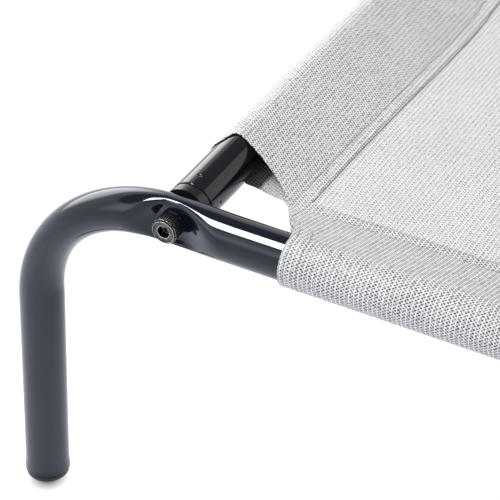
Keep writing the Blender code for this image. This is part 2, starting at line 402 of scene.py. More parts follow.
def paint(name, colour, shine):
    """Glossy enamel on steel: a slight orange peel, faint cloudiness and a little dust."""
    nodes = material_nodes(name)
    cloud = nodes.noise(9.0, 4.0)
    nodes.shade("Base Color", nodes.colours(cloud, (0.30, tint(colour, 0.8)), (0.72, tint(colour, 1.3))))
    dust = nodes.ramp(nodes.noise(950.0, 2.0), 0.66, 0.82, 0.0, 0.10)
    nodes.shade("Roughness", nodes.math('ADD', nodes.ramp(cloud, 0.35, 0.75, 0.045, 0.085), dust))
    nodes.shade("IOR", 1.5)
    # painted reflection colour: shine tints the enamel's reflections, standing in for the bluish studio light
    nodes.shade("Specular Tint", (*shine, 1.0))
    nodes.bump(nodes.noise(330.0, 1.0), 0.000012, 0.4)
    return nodes.owner


def plastic(name, colour, gloss, grain_size):
    nodes = material_nodes(name)
    cloud = nodes.noise(60.0, 4.0)
    nodes.shade("Base Color", nodes.colours(cloud, (0.3, tint(colour, 0.75)), (0.75, tint(colour, 1.35))))
    nodes.shade("Roughness", nodes.ramp(cloud, 0.3, 0.7, gloss - 0.06, gloss + 0.08))
    nodes.bump(nodes.noise(grain_size, 3.0), 0.00005, 0.6)
    return nodes.owner


def zinc(name):
    """Mottled plated steel: painted shade on its sides, painted light on its face, pale edges of wear and
    painted highlight.
    """
    nodes = material_nodes(name)
    mottle = nodes.noise(480.0, 5.0)
    # painted shade and light: the head's sides are painted dark, as if in shade, and its outer face paler, as
    # if lit
    dark = nodes.colours(mottle, (0.32, (0.005, 0.005, 0.005)), (0.75, (0.024, 0.025, 0.025)))
    pale = nodes.colours(mottle, (0.32, (0.050, 0.056, 0.055)), (0.75, (0.125, 0.133, 0.131)))
    surface = nodes.add("ShaderNodeNewGeometry")
    sideways = nodes.split(surface.outputs["True Normal"])[1]
    plating_and_painted_light = nodes.mix(nodes.ramp(nodes.math('ABSOLUTE', sideways), 0.93, 0.99), dark, pale)
    soft_edge = nodes.add("ShaderNodeBevel", samples=6)
    nodes.feed(soft_edge.inputs["Radius"], 0.00042)
    agreement = nodes.dot(soft_edge.outputs[0], surface.outputs["Normal"])
    edge = nodes.ramp(agreement, 0.93, 0.998, 1.0, 0.0)
    # painted highlight and wear: rounded edges are painted pale in patches, also as the ring of light on the
    # head's rim
    wear_and_rim_highlight = nodes.math('MULTIPLY', edge, nodes.ramp(nodes.noise(1300.0, 3.0), 0.36, 0.48))
    nodes.shade("Base Color", nodes.mix(wear_and_rim_highlight, plating_and_painted_light, (0.95, 0.95, 0.93, 1.0)))
    nodes.shade("Roughness", nodes.ramp(mottle, 0.3, 0.7, 0.46, 0.32))
    nodes.shade("Metallic", 0.9)
    nodes.bump(nodes.noise(2600.0, 2.0), 0.00004, 0.6)
    return nodes.owner


def thread_material(name):
    nodes = material_nodes(name)
    fibre = nodes.noise(4200.0, 2.0)
    nodes.shade("Base Color", nodes.colours(fibre, (0.3, (0.14, 0.143, 0.148)), (0.7, (0.30, 0.303, 0.31))))
    nodes.shade("Roughness", nodes.ramp(fibre, 0.3, 0.7, 0.55, 0.8))
    nodes.bump(fibre, 0.00005, 0.7)
    return nodes.owner


HOLE_WIDTH = 0.215  # half sizes of a hole, as shares of the two pitches
HOLE_LENGTH = 0.185
NEAR_HOLE = (0.31, 0.25)  # where the two holes of a cell are, as shares of the two pitches
FAR_HOLE = (0.69, 0.75)
WEAVE_SHADE = (0.025, 0.026, 0.028)
WEAVE_MIDDLE = (0.47, 0.475, 0.48)
WEAVE_RIDGE = (0.84, 0.845, 0.85)


def weave(name, through, far_side, depth, paleness, rib_highlight):
    """Coated mesh. Ribs run along the cloth's V, and in the strip between two ribs the cross yarns leave
    small holes, by turns near its one side and near its other. through is the share of a hole that shows
    what is behind it, far_side the share of the second holes, depth how dark the rest of a hole is painted,
    as painted shade, paleness how much lighter the whole cloth is painted, as painted light, and the last
    argument how much lighter the ribs are painted, as a painted highlight."""
    nodes = material_nodes(name)
    lay = nodes.add("ShaderNodeUVMap", uv_map="lay").outputs[0]
    across, along, _ = nodes.split(lay)
    drift = nodes.math('SUBTRACT', nodes.noise(70.0, 2.0, lay), 0.5)
    jitter = nodes.math('SUBTRACT', nodes.noise(700.0, 1.0, lay), 0.5)
    across = nodes.total((across, 1.0), (drift, 0.0006), (jitter, 0.0003))
    along = nodes.total((along, 1.0), (drift, 0.0005), (jitter, 0.0004))
    rib_place = nodes.math('DIVIDE', across, RIB_PITCH)
    yarn_place = nodes.math('DIVIDE', along, YARN_PITCH)
    rib_turn = nodes.math('FRACT', rib_place)
    yarn_turn = nodes.math('FRACT', yarn_place)

    def chance(column, row, layer):
        """A random value for each place in a grid of columns and rows."""
        cell = nodes.add("ShaderNodeCombineXYZ", nodes.math('FLOOR', column), nodes.math('FLOOR', row), layer)
        return nodes.add("ShaderNodeTexWhiteNoise", cell.outputs[0], noise_dimensions='3D').outputs["Value"]

    def hole(place, share):
        """How much a point lies in the nearest hole on one side of the strip, and how near its rim is."""
        side, phase = place
        row = nodes.math('ADD', yarn_place, 0.5 - phase)
        x = nodes.math('DIVIDE', nodes.math('SUBTRACT', rib_turn, side), HOLE_WIDTH)
        y = nodes.math('DIVIDE', nodes.math('SUBTRACT', nodes.math('FRACT', row), 0.5), HOLE_LENGTH)
        tightness = nodes.ramp(chance(rib_place, row, side), 0.0, 1.0, 0.72, 1.55)
        reach = nodes.math('MULTIPLY', nodes.total((x, x), (y, y)), tightness)
        return nodes.ramp(reach, 0.7, 1.2, share, 0.0), nodes.ramp(reach, 0.9, 2.2, share, 0.0)

    # 0 on a rib's ridge and 0.5 in the middle of the strip between two ribs
    from_rib = nodes.math('ABSOLUTE', nodes.math('SUBTRACT', rib_turn, 0.5))
    from_rib = nodes.math('SUBTRACT', 0.5, from_rib)
    rib = nodes.ramp(from_rib, 0.02, 0.14, 1.0, 0.0)
    near_hole, near_rim = hole(NEAR_HOLE, 1.0)
    far_hole, far_rim = hole(FAR_HOLE, far_side)
    holes = nodes.math('MAXIMUM', near_hole, far_hole)
    rims = nodes.math('MAXIMUM', near_rim, far_rim)
    yarn = nodes.math('SINE', nodes.math('MULTIPLY', yarn_turn, 4 * math.pi))
    nodes.bump(nodes.total((rib, 0.30), (yarn, 0.10), (rims, -0.35)), 0.00022, 0.7)

    cloud = nodes.noise(30.0, 5.0, lay)
    fleck = nodes.noise(1700.0, 2.0, lay)
    shine = chance(nodes.math('ADD', rib_place, 0.5), nodes.math('MULTIPLY', yarn_place, 2.0), 2.0)
    # painted highlight: the ribs are painted lighter, by an amount that changes at random along them
    highlight_amount = nodes.ramp(shine, 0.0, 1.0, 0.25 * rib_highlight, 1.35 * rib_highlight)
    # painted shade: the holes, and a ring round each, are painted dark, as the shaded gap behind the cloth
    value = nodes.total((rib, highlight_amount), (cloud, 0.12), (fleck, 1.7), (rims, -0.05), (holes, -depth),
                        (paleness - 0.43, 1.0))
    nodes.shade("Base Color",
                nodes.colours(value, (0.03, WEAVE_SHADE), (0.42, WEAVE_MIDDLE), (1.0, WEAVE_RIDGE)))
    nodes.shade("Roughness", nodes.ramp(fleck, 0.3, 0.7, 0.42, 0.62))
    nodes.shade("Sheen Weight", 0.05)

    clear = nodes.add("ShaderNodeBsdfTransparent")
    opening = nodes.math('MULTIPLY', holes, through)
    mixed = nodes.add("ShaderNodeMixShader", opening, nodes.shader.outputs[0], clear.outputs[0])
    nodes.feed(nodes.tree.nodes["Material Output"].inputs["Surface"], mixed.outputs[0])
    return nodes.owner


# The shine colours tint the reflections bluish, a painted tint of the studio's light, more so on the frame
FRAME_PAINT = paint("frame_enamel", (0.0032, 0.0040, 0.0092), (0.86, 0.90, 1.0))
RAIL_PAINT = paint("rail_enamel", (0.0038, 0.0043, 0.0060), (0.97, 0.98, 1.0))
INSERT_PLASTIC = plastic("insert_plastic", (0.009, 0.0092, 0.010), 0.24, 500.0)
FOOT_PLASTIC = plastic("foot_plastic_grain", (0.032, 0.034, 0.042), 0.42, 900.0)
SCREW_ZINC = zinc("screw_zinc")
# The same cloth three times over, painted lighter or darker, its ribs and holes painted to the light and
# shade where each copy lies
SLEEVE_WEAVE = weave("mesh_weave", 0.05, 1.0, 1.3, 0.0, 0.22)
END_WEAVE = weave("mesh_weave_end", 0.03, 1.0, 1.5, 0.07, 0.02)
PANEL_WEAVE = weave("mesh_weave_flat", 0.12, 0.6, 0.36, 0.05, 0.13)
SEAM_THREAD = thread_material("seam_thread")


# Side frames: tubes bent into legs at both ends, with a pocket pressed in for each screw

def bend_station(angle):
    """Centre, outward direction and share of flattening on the bend's axis, and no flare."""
    centre = Vector((BEND_START, 0, RAIL_HEIGHT - BEND_RADIUS))
    outward = Vector((math.sin(angle), 0, math.cos(angle)))
    flattening = math.sin(math.pi * angle / BEND_ANGLE) ** 0.8 if 0 < angle < BEND_ANGLE else 0.0
    return centre + outward * BEND_RADIUS, outward, flattening, 0.0


def rail_station(x):
    return Vector((x, 0, RAIL_HEIGHT)), UP, 0.0, 0.0


def leg_station(height):
    centre = Vector((CORNER_X + (RAIL_HEIGHT - height) * LEG_LEAN, 0, height))
    outward = Vector((1 / math.cos(LEG_SPLAY), 0, 0))
    flare = FLARE * smooth_step(1 - (height - TUBE_END) / FLARE_STEPS[0])
    return centre, outward, 0.0, flare


def side_stations():
    """From the middle of the bed to the foot at +X: centre, outward direction, flattening and flare."""
    stations = [rail_station(x) for x in (0.0, 0.25, 0.45)]
    x = END_X - POCKET_SPAN
    while x < BEND_START:
        stations.append(rail_station(x))
        x += POCKET_STEP
    angle = math.asin((x - BEND_START) / BEND_RADIUS)
    past_pocket = math.asin((END_X + POCKET_SPAN - BEND_START) / BEND_RADIUS)
    while angle < past_pocket:
        stations.append(bend_station(angle))
        angle += POCKET_STEP / BEND_RADIUS
    for step in range(BEND_STEPS + 1):
        stations.append(bend_station(past_pocket + (BEND_ANGLE - past_pocket) * step / BEND_STEPS))
    stations += [leg_station(height) for height in (0.09, 0.05)]
    return stations + [leg_station(TUBE_END + step) for step in FLARE_STEPS]


def pressed(out, height, x, half_height, seat):
    """The pocket: the outer half of the tube is pressed in to a nearly flat face round the screw."""
    narrowing = (height / half_height) ** 2
    flat = POCKET_FLAT * (1 - FLAT_NARROWING * narrowing)
    reach = POCKET_REACH_IN if abs(x) < END_X else POCKET_REACH_OUT
    reach *= 1 - REACH_NARROWING * narrowing
    share = max(0.0, (abs(abs(x) - END_X) - flat) / (reach - flat)) ** 0.75
    along = 1 - smooth_step(share)
    face_out = seat + POCKET_LIP * smooth_step((height - LIP_START) / (-half_height - LIP_START))
    rounding = POCKET_ROUNDS[0] if height > 0 else POCKET_ROUNDS[1]
    nearer = max(0.0, min(1.0, 0.5 + 0.5 * (out - face_out) / rounding))
    met = out + (face_out - out) * nearer - rounding * nearer * (1 - nearer)
    return out + (min(out, met) - out) * along


def frame_ring(station, face, inset):
    centre, outward, flattening, flare = station
    radius = TUBE_RADIUS - inset + flare
    bulge = POCKET_BULGE * (1 - smooth_step((abs(abs(centre.x) - END_X) - BULGE_FLAT) / BULGE_FADE))
    tall = radius - TUBE_RADIUS * (BEND_FLATTENING * flattening - bulge)
    wide = radius + TUBE_RADIUS * BEND_WIDENING * flattening
    ring = []
    for i in range(TUBE_SIDES):
        angle = 2 * math.pi * i / TUBE_SIDES
        height = tall * math.sin(angle)
        point = centre + outward * height
        out = pressed(wide * math.cos(angle), height, point.x, tall, POCKET_SEAT - inset)
        ring.append(Vector((point.x, face * (SIDE_Y + out), point.z)))
    return ring


def mirrored(ring):
    return [Vector((-point.x, point.y, point.z)) for point in ring]


def looking_out(end, face, out):
    """Places something turned about Z on a screw's axis, with its top towards the outside."""
    turn = Matrix.Rotation(-face * math.pi / 2, 4, 'X')
    return Matrix.Translation((end * END_X, face * (SIDE_Y + out), RAIL_HEIGHT)) @ turn


def side_frame(side_name, face):
    stations = side_stations()
    skins = []
    for inset in (0.0, TUBE_WALL):
        half = [frame_ring(station, face, inset) for station in stations]
        skins.append([mirrored(ring) for ring in reversed(half[1:])] + half)
    mesh = closed_loft(skins[0] + skins[1][::-1])
    name = "side_frame_" + side_name
    obj = piece(name + "_tube", mesh, FRAME_PAINT, name)
    for _, end in ENDS:
        cut_away(obj, drum(HOLE_RADIUS, 4 * TUBE_RADIUS, 48), looking_out(end, face, 0.0))


# End rails

def rail_ring(end, y, radius):
    ring = []
    for i in range(RAIL_SIDES):
        turn = 2 * math.pi * i / RAIL_SIDES
        x = end * END_X + radius * math.cos(turn)
        ring.append(Vector((x, y, RAIL_HEIGHT + radius * math.sin(turn))))
    return ring


def crimped(ring, end, y, half):
    """Four small dents round the tube near each of its ends."""
    away = abs(abs(y) - (half - CRIMP_FROM_END))
    if away > 2 * CRIMP_LENGTH:
        return ring
    centre = Vector((end * END_X, y, RAIL_HEIGHT))
    made = []
    for point in ring:
        spoke = point - centre
        turn = math.atan2(spoke.z, spoke.x)
        nearest = (turn + math.pi / 4) % (math.pi / 2) - math.pi / 4
        off = math.hypot(away / CRIMP_LENGTH, nearest * spoke.length / CRIMP_WIDTH)
        depth = CRIMP_DEPTH * (1 - smooth_step(off))
        made.append(centre + spoke * (1 - depth / spoke.length))
    return made


def end_rail(end_name, end):
    half = SIDE_Y - END_RAIL_GAP - GAP / 2
    dents = half - CRIMP_FROM_END
    places = [0.0, 0.2, dents - CRIMP_SPAN - 0.0004]
    places += spread(dents - CRIMP_SPAN, dents + CRIMP_SPAN, CRIMP_STEP)
    places.append(half - RIM_ROUND * 2)
    outer = [(y, TUBE_RADIUS) for y in places]
    outer += [(half - RIM_ROUND * (1 - math.sin(a)), TUBE_RADIUS - RIM_ROUND * (1 - math.cos(a)))
              for a in spread(0.0, math.pi / 2, math.pi / 8)]
    inside = TUBE_RADIUS - TUBE_WALL
    inner = [(half, inside)] + [(y, inside) for y in reversed(places)]
    loops = []
    for y, radius in outer + inner:
        loops.append(crimped(rail_ring(end, y, radius), end, y, half))
    for y, radius in reversed(outer[1:] + inner[:-1]):
        loops.append(crimped(rail_ring(end, -y, radius), end, -y, half))
    name = "end_rail_" + end_name
    piece(name + "_tube", closed_loft(loops), RAIL_PAINT, name)


# Inserts, screws and foot plugs, one of each at every corner

def insert(corner, end, face):
    collar = END_RAIL_GAP - GAP / 2
    groove = COLLAR_GROOVE
    profile = [(TUBE_RADIUS, -COLLAR_REACH), (TUBE_RADIUS, groove * 2 - collar),
               (TUBE_RADIUS - groove, groove - collar), (TUBE_RADIUS - groove, -collar),
               (SPIGOT_RADIUS, -collar), (SPIGOT_RADIUS, -collar - SPIGOT_LENGTH),
               (HOLE_RADIUS, -collar - SPIGOT_LENGTH), (HOLE_RADIUS, -COLLAR_REACH)]
    mesh = turned_mesh(profile, 64)
    mesh.transform(looking_out(end, face, 0.0))
    name = "rail_insert_" + corner
    obj = piece(name + "_body", mesh, INSERT_PLASTIC, name)
    saddle = Matrix.Translation((end * END_X, face * SIDE_Y, RAIL_HEIGHT))
    saddle = saddle @ Matrix.Rotation(math.pi / 2, 4, 'Y')
    cut_away(obj, drum(TUBE_RADIUS + GAP, 0.08, 128), saddle)


def knurl(turn, radius, height):
    if radius < HEAD_RADIUS - 0.0001 or height < 0.0006:
        return radius
    return radius - KNURL_DEPTH * (0.5 + 0.5 * math.cos(KNURLS * turn))


def screw(corner, end, face):
    seat = POCKET_SEAT + GAP
    dish = 0.0002
    tip = 0.0006
    profile = [(0, HEAD_HEIGHT - dish), (HEAD_RADIUS - 0.0016, HEAD_HEIGHT - dish),
               (HEAD_RADIUS - 0.0013, HEAD_HEIGHT), (HEAD_RADIUS - HEAD_RIM, HEAD_HEIGHT),
               (HEAD_RADIUS - 0.00012, HEAD_HEIGHT - HEAD_RIM * 0.85), (HEAD_RADIUS, HEAD_HEIGHT - HEAD_RIM),
               (HEAD_RADIUS, 0.0008), (HEAD_RADIUS - 0.0004, 0), (SCREW_RADIUS, 0),
               (SCREW_RADIUS, tip - SHANK_LENGTH), (SCREW_RADIUS - tip, -SHANK_LENGTH), (0, -SHANK_LENGTH)]
    mesh = turned_mesh(profile, KNURLS * 6, knurl)
    mesh.transform(looking_out(end, face, seat))
    name = "screw_" + corner
    obj = piece(name + "_bolt", mesh, SCREW_ZINC, name)
    across = SOCKET_ACROSS_FLATS / math.sqrt(3)
    socket = [(0, SOCKET_DEPTH), (across * 1.25, SOCKET_DEPTH), (across * 1.25, 0.0004),
              (across, -0.0003), (across, -SOCKET_DEPTH), (0, -SOCKET_DEPTH - 0.0008)]
    cut_away(obj, turned_mesh(socket, 6), looking_out(end, face, seat + HEAD_HEIGHT))


def foot_plug(corner, end, face):
    lip = FOOT_HEIGHT - FOOT_GROOVE
    top = FOOT_HEIGHT - GAP + FOOT_SPIGOT_LENGTH
    chamfer = 0.0009
    profile = [(0, top), (FOOT_SPIGOT_RADIUS - chamfer, top), (FOOT_SPIGOT_RADIUS, top - chamfer),
               (FOOT_SPIGOT_RADIUS, lip), (FOOT_RADIUS, lip), (FOOT_RADIUS, 0), (0, 0)]
    profile = rounded(profile, 5, 0.0007)
    profile = rounded(profile, 4, 0.0003, 3)
    mesh = turned_mesh(profile, TUBE_SIDES)
    mesh.transform(Matrix.Translation((end * FOOT_X, face * SIDE_Y, 0)))
    name = "foot_plug_" + corner
    piece(name + "_cap", mesh, FOOT_PLASTIC, name)


# The mesh cover. Distances in a corner are taken inwards from the leg's axis and the side rail's axis.

ABOVE, ROUND, BELOW = range(3)
Spot = namedtuple("Spot", "part inward up angle")


def end_wave(inward):
    """How far an end seam bows in at a distance from the side rail, the same from both sides."""
    near = min(inward, 2 * SIDE_Y - inward)
    width = WAVE_WIDTHS[0] if near < WAVE_PLACE else WAVE_WIDTHS[1]
    return SEAM_WAVE * math.exp(-((near - WAVE_PLACE) / width) ** 2)


def slope_height(reach, radius, seam):
    """Height of the cloth's middle over a rail and down to its seam."""
    taper = math.acos(radius / seam)
    touch = radius * math.cos(taper)
    if reach <= touch:
        return math.sqrt(max(0.0, radius * radius - reach * reach))
    if reach >= seam:
        return CLOTH_LEVEL
    top = radius * math.sin(taper)
    share = (seam - reach) / (seam - touch)
    return CLOTH_LEVEL + (top - CLOTH_LEVEL) * share


def sleeve_section(seam, hem, slope_steps=14, round_steps=44):
    """Spots round a sleeve from the hem's upper edge over the rail and back under it. The angle round the
    rail is in degrees, and only spots of the part that lies round the rail have one."""
    def sag(i):
        return SLACK * math.sin(math.pi * i / slope_steps) ** 2

    flat = spread(hem, seam + SEAM_PINCH, 0.0016)
    section = [Spot(ABOVE, reach, CLOTH_LEVEL, None) for reach in flat]
    section.append(Spot(ABOVE, seam, CLOTH_LEVEL * 0.7, None))
    taper = math.acos(NOSE_TOP / seam)
    touch = NOSE_TOP * math.cos(taper)
    for i in range(1, slope_steps):
        reach = seam + (touch - seam) * i / slope_steps
        section.append(Spot(ABOVE, reach, slope_height(reach, NOSE_TOP, seam) - sag(i) * 0.5, None))
    low_taper = math.acos(NOSE_BOTTOM / seam)
    sweep = 2 * math.pi - taper - low_taper
    for i in range(round_steps + 1):
        angle = taper + sweep * i / round_steps
        slack = smooth_step((angle - math.pi * 0.75) / (math.pi * 0.6))
        radius = NOSE_TOP + (NOSE_BOTTOM - NOSE_TOP) * slack
        section.append(Spot(ROUND, radius * math.cos(angle), radius * math.sin(angle), math.degrees(angle)))
    touch = NOSE_BOTTOM * math.cos(low_taper)
    for i in range(1, slope_steps):
        reach = touch + (seam - touch) * i / slope_steps
        section.append(Spot(BELOW, reach, -slope_height(reach, NOSE_BOTTOM, seam) - sag(i), None))
    section.append(Spot(BELOW, seam, -CLOTH_LEVEL * 0.7, None))
    return section + [Spot(BELOW, reach, -CLOTH_LEVEL, None) for reach in reversed(flat)]


def arc_lengths(section):
    lengths = [0.0]
    for spot, following in zip(section, section[1:]):
        step = math.hypot(following.inward - spot.inward, following.up - spot.up)
        lengths.append(lengths[-1] + step)
    return lengths


def away_from_rail(section, index):
    """The section's normal at a spot."""
    before = section[max(0, index - 1)]
    after = section[min(len(section) - 1, index + 1)]
    run, rise = after.inward - before.inward, after.up - before.up
    size = math.hypot(run, rise)
    return rise / size, -run / size


SIDE_SECTION = sleeve_section(SIDE_SEAM, SIDE_HEM)
SIDE_ARCS = arc_lengths(SIDE_SECTION)
SIDE_SLOPE = [(spot.inward, arc) for spot, arc in zip(SIDE_SECTION, SIDE_ARCS) if spot.part == ABOVE][::-1]


def side_lay(inward):
    """Flat distance from the side hem's edge at a distance from the side rail, measured on the cloth."""
    if inward >= SIDE_HEM:
        return SIDE_HEM - inward
    return between(SIDE_SLOPE, inward)


def joined_height(up, inward_from_side, radius):
    """Height where the slopes of an end sleeve and a side sleeve run together in a corner."""
    other = slope_height(inward_from_side, radius, SIDE_SEAM) - CLOTH_LEVEL
    return math.copysign(CLOTH_LEVEL + math.hypot(max(0.0, abs(up) - CLOTH_LEVEL), other), up)


def end_mouth(spot):
    """Where an end sleeve begins at a spot of its section, from the side rail's axis."""
    if spot.part == ROUND:
        return eased(END_MOUTH_NOSE, spot.angle, 8.0) / 1000
    table = END_MOUTH_TOP if spot.part == ABOVE else END_MOUTH_BOTTOM
    return eased(table, spot.inward * 1000, 2.4) / 1000


def side_mouth(spot):
    """Where a side sleeve begins at a spot of its section, from the leg's axis."""
    if spot.part == ROUND:
        return between(SIDE_MOUTH_IN, max(0.0, spot.inward * 1000)) / 1000
    return eased(SIDE_MOUTH_IN, spot.inward * 1000, 2.0) / 1000


def cloth_piece(name, rows, turned_over, mat=SLEEVE_WEAVE, node=None):
    """A sheet of real thickness from rows of (point, flat place). The flat places become its UV, and
    turned_over is for rows that would make its normals look towards the rail."""
    if turned_over:
        rows = rows[::-1]
    bm = bmesh.new()
    layer = bm.loops.layers.uv.new("lay")
    grid = [[bm.verts.new(point) for point, _ in row] for row in rows]
    for r in range(len(rows) - 1):
        for c in range(len(rows[0]) - 1):
            corners = ((r, c), (r, c + 1), (r + 1, c + 1), (r + 1, c))
            face = bm.faces.new([grid[i][j] for i, j in corners])
            for loop, (i, j) in zip(face.loops, corners):
                loop[layer].uv = rows[i][j][1]
    mesh = mesh_from(bm)
    mesh.shade_smooth()
    obj = piece(name, mesh, mat, node)
    solid = obj.modifiers.new("thickness", 'SOLIDIFY')
    solid.thickness = CLOTH
    solid.offset = 0.0
    solid.use_even_offset = False
    solid.use_rim = True
    obj.modifiers.new("shading", 'WEIGHTED_NORMAL')
    return obj


def lift_share(spot):
    """How far the cloth may stand off its rail at a spot of a section: not on the outer side."""
    if spot.part != ROUND:
        return max(0.0, min(1.0, 1 - (spot.inward - 0.02) / 0.012))
    return 1 - 0.8 * smooth_step((spot.angle - 100) / 25)


def flared(section, index, from_mouth, amount, length):
    """Lifts the cloth off its rail towards the mouth. Gives a spot's distance inwards and its height."""
    spot = section[index]
    lift = amount * lift_share(spot) * (1 - smooth_step(from_mouth / length))
    across, above = away_from_rail(section, index)
    return spot.inward + across * lift, spot.up + above * lift


def shares(power, count):
    """Shares from 0 to 0.5 that start in small steps, and then the same again to 1."""
    half = [0.5 * (i / count) ** power for i in range(count + 1)]
    return half + [1 - share for share in reversed(half[:-1])]


def end_sleeve(end_name, end):
    mouths = [end_mouth(spot) for spot in sleeve_section(END_SEAM, END_HEM)]
    rows = []
    for share in shares(1.7, 90):
        wave = end_wave(mouths[0] + (SIDE_Y - mouths[0]) * 2 * share)
        section = sleeve_section(END_SEAM + wave, END_HEM + wave)
        arcs = arc_lengths(section)
        row = []
        for index, spot in enumerate(section):
            start = mouths[index]
            inward = start + (2 * SIDE_Y - 2 * start) * share
            near = min(inward, 2 * SIDE_Y - inward)
            reach, up = flared(section, index, near - start, MOUTH_FLARE, MOUTH_FLARE_LENGTH)
            if spot.part != ROUND and near < SIDE_SEAM:
                up = joined_height(up, near, NOSE_TOP if spot.part == ABOVE else NOSE_BOTTOM)
            flat_x = END_X - END_HEM - wave + arcs[index]
            flat_y = SIDE_Y - SIDE_HEM + side_lay(near) if near < SIDE_HEM else SIDE_Y - near
            row.append((Vector((end * (END_X - reach), inward - SIDE_Y, RAIL_HEIGHT + up)),
                        (end * flat_x, math.copysign(flat_y, inward - SIDE_Y))))
        rows.append(row)
    name = "cover_sleeve_" + end_name
    return cloth_piece(name + "_cloth", rows, end > 0, END_WEAVE, name)


def side_sleeve(side_name, face):
    mouths = [side_mouth(spot) for spot in SIDE_SECTION]
    rows = []
    for share in shares(1.9, 110):
        row = []
        for index, spot in enumerate(SIDE_SECTION):
            start = mouths[index]
            inward = start + (2 * CORNER_X - 2 * start) * share
            near = min(inward, 2 * CORNER_X - inward)
            reach, up = flared(SIDE_SECTION, index, near - start - HEM_FOLD, HEM_LIFT, HEM_LIFT_LENGTH)
            if spot.part != ROUND and reach > TUCK_START:
                tuck = TUCK * (1 - smooth_step((near - start) / TUCK_LENGTH))
                up -= math.copysign(tuck, up)
            x = inward - CORNER_X
            row.append((Vector((x, face * (SIDE_Y - reach), RAIL_HEIGHT + up)),
                        (x, face * (SIDE_Y - SIDE_HEM + SIDE_ARCS[index]))))
        rows.append(row)
    name = "cover_sleeve_" + side_name
    return cloth_piece(name + "_cloth", rows, face < 0, node=name)


def panel():
    """The single sheet between the hems' edges. It carries on from the sleeves' lower layer."""
    rows = []
    for v in shares(1.2, 60):
        y = (SIDE_Y - SIDE_HEM) * (2 * v - 1)
        half = END_X - END_HEM - end_wave(SIDE_Y - abs(y))
        places = [half * (2 * u - 1) for u in shares(1.0, 40)]
        rows.append([(Vector((x, y, RAIL_HEIGHT - CLOTH_LEVEL)), (x, y)) for x in places])
    return cloth_piece("cover_panel_cloth", rows, False, PANEL_WEAVE, "cover_panel")


def fold(side_name, face, end_name, end):
    """The strip turned in at a side sleeve's mouth: its rounded fold shows at the mouth."""
    rows = []
    for index, spot in enumerate(SIDE_SECTION):
        if spot.part != ROUND and spot.inward >= FOLD_END:
            continue
        start = side_mouth(spot)
        across, above = away_from_rail(SIDE_SECTION, index)
        top = HEM_LIFT * lift_share(spot)
        inner = (HEM_FOLD, HEM_FOLD * 0.6, HEM_FOLD * 0.25, 0.0006)
        steps = [(distance, top - FOLD_DROP) for distance in inner]
        for i in range(1, 8):
            turn = math.pi * i / 8
            steps.append((-0.45 * FOLD_DROP * math.sin(turn), top - 0.5 * FOLD_DROP * (1 + math.cos(turn))))
        steps.append((0.0004, top + 0.00005))
        row = []
        for number, (along, lift) in enumerate(steps):
            point = Vector((end * (CORNER_X - start - along), face * (SIDE_Y - spot.inward - across * lift),
                            RAIL_HEIGHT + spot.up + above * lift))
            row.append((point, (end * (CORNER_X - start + HEM_FOLD - number * FOLD_STEP),
                                face * (SIDE_Y - SIDE_HEM + SIDE_ARCS[index]))))
        rows.append(row)
    return cloth_piece("cover_fold_" + side_name + "_" + end_name, rows, end * face > 0)


def stitched(name, rows, radius):
    """Sewing thread along rows of points."""
    curve = bpy.data.curves.new(name, 'CURVE')
    curve.dimensions = '3D'
    curve.bevel_depth = radius
    curve.bevel_resolution = 1
    curve.use_fill_caps = True
    for points in rows:
        spline = curve.splines.new('POLY')
        spline.points.add(len(points) - 1)
        for target, point in zip(spline.points, points):
            target.co = (*point, 1)
    return piece(name, curve, SEAM_THREAD)


def stitch_line(place, start, stop, lift):
    """Points of a row of stitches. place(distance) gives a point on the cloth's upper face."""
    points = []
    distance = start
    while distance < stop:
        for share, height in ((0.0, -STITCH_DIP), (0.14, lift), (0.5, lift * 1.15), (0.86, lift)):
            points.append(place(distance + share * STITCH) + UP * height)
        distance += STITCH
    points.append(place(distance) - UP * STITCH_DIP)
    return points


def end_seam_place(end, offset):
    def place(inward):
        wander = WANDER * (math.sin(inward * 390) + math.sin(inward * 163 + 1.3)) / 2
        x = END_X - END_SEAM - end_wave(inward) - offset - wander
        level = joined_height(CLOTH_LEVEL, min(inward, 2 * SIDE_Y - inward), NOSE_TOP)
        return Vector((end * x, inward - SIDE_Y, RAIL_HEIGHT + level + CLOTH / 2))
    return place


def side_seam_place(face, offset):
    def place(inward):
        return Vector((inward - CORNER_X, face * (SIDE_Y - SIDE_SEAM - offset),
                       RAIL_HEIGHT + CLOTH_LEVEL + CLOTH / 2))
    return place


def hem_row(face, end, from_mouth):
    """Stitches across a side sleeve's folded mouth, from the seam's slope round the rail."""
    points = []
    first = None
    for index, spot in enumerate(SIDE_SECTION):
        if spot.part == BELOW or (spot.part == ABOVE and spot.inward > HEM_ROW_END):
            continue
        if first is None:
            first = SIDE_ARCS[index]
        phase = (SIDE_ARCS[index] - first) / (STITCH * 0.9) % 1.0
        reach, up = flared(SIDE_SECTION, index, from_mouth - HEM_FOLD, HEM_LIFT, HEM_LIFT_LENGTH)
        across, above = away_from_rail(SIDE_SECTION, index)
        stand = CLOTH / 2 + (0.00012 if 0.2 < phase < 0.8 else -STITCH_DIP)
        points.append(Vector((end * (CORNER_X - side_mouth(spot) - from_mouth),
                              face * (SIDE_Y - reach - across * stand), RAIL_HEIGHT + up + above * stand)))
    return points


